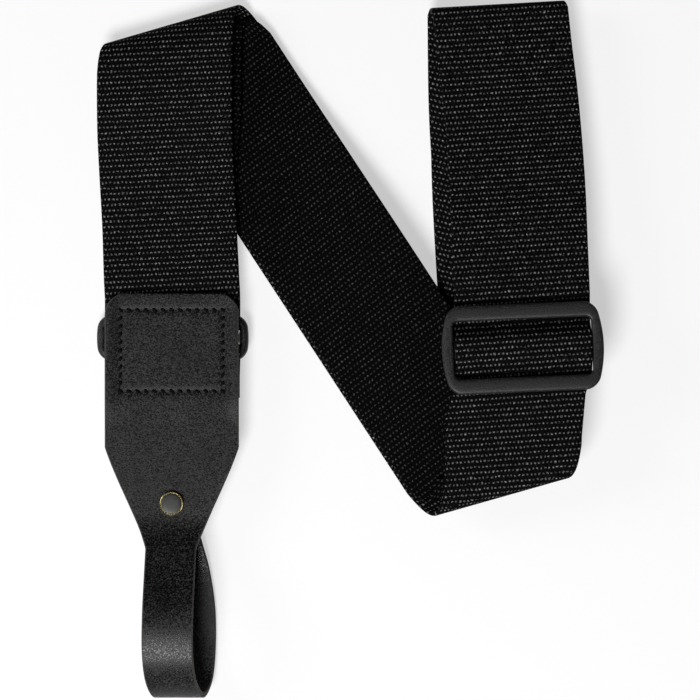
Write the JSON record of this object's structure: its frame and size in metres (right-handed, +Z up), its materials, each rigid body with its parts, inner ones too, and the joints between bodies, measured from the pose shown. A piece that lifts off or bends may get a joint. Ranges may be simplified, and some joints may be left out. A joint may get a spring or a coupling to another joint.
{
  "type": "guitar strap",
  "caption": "Webbing guitar strap laid down folded, with a plastic slider and ring, a leather headstock loop closed by a press stud, and a leather button end.",
  "frame": {"origin": "middle of the bounding box's bottom face, on the table that the strap lies on", "axes": "+Y from the headstock loop towards the top folds, +X from the headstock column to the slider column, +Z up from the table"},
  "size_m": [0.1902, 0.2625, 0.024],
  "materials": {
    "webbing": "ribbed weave",
    "leather": "fine matt grain",
    "thread": "twisted thread",
    "hardware_plastic": "satin moulded",
    "snap_metal": "antique satin"
  },
  "bodies": {
    "webbing": {"webbing_return": "webbing", "webbing_front": "webbing", "webbing_slider_run": "webbing", "webbing_tail": "webbing", "button_end_leather": "leather", "button_end_stitching": "thread"},
    "ring": {"strap_ring": "hardware_plastic"},
    "headstock_tab": {"headstock_leather": "leather", "ring_chape": "webbing", "headstock_stitching": "thread", "snap_cap": "snap_metal", "snap_socket": "snap_metal"},
    "tongue": {"loop_tongue": "leather", "snap_stud": "snap_metal", "snap_post": "snap_metal"},
    "slider": {"slider_frame": "hardware_plastic", "webbing_return_end": "webbing", "return_end_stitching": "thread"}
  },
  "joints": [
    {"name": "ring_swing", "type": "hinge", "parent": "webbing", "child": "ring", "pos_m": [-0.067, 0.011, 0.0045], "axis": [1, 0, 0], "range_deg": [0, 75]},
    {"name": "tab_swing", "type": "hinge", "parent": "ring", "child": "headstock_tab", "pos_m": [-0.067, -0.0025, 0.0045], "axis": [1, 0, 0], "range_deg": [0, 75]},
    {"name": "snap_open", "type": "hinge", "parent": "headstock_tab", "child": "tongue", "pos_m": [-0.0634, -0.1313, 0.0096], "axis": [-1, 0, 0], "range_deg": [0, 70]},
    {"name": "slider_slide", "type": "slide", "parent": "webbing", "child": "slider", "axis": [-0.0436, 0.999, 0], "range_m": [-0.005, 0.085], "deforming": ["webbing_slider_run", "webbing_return_end"]}
  ]
}
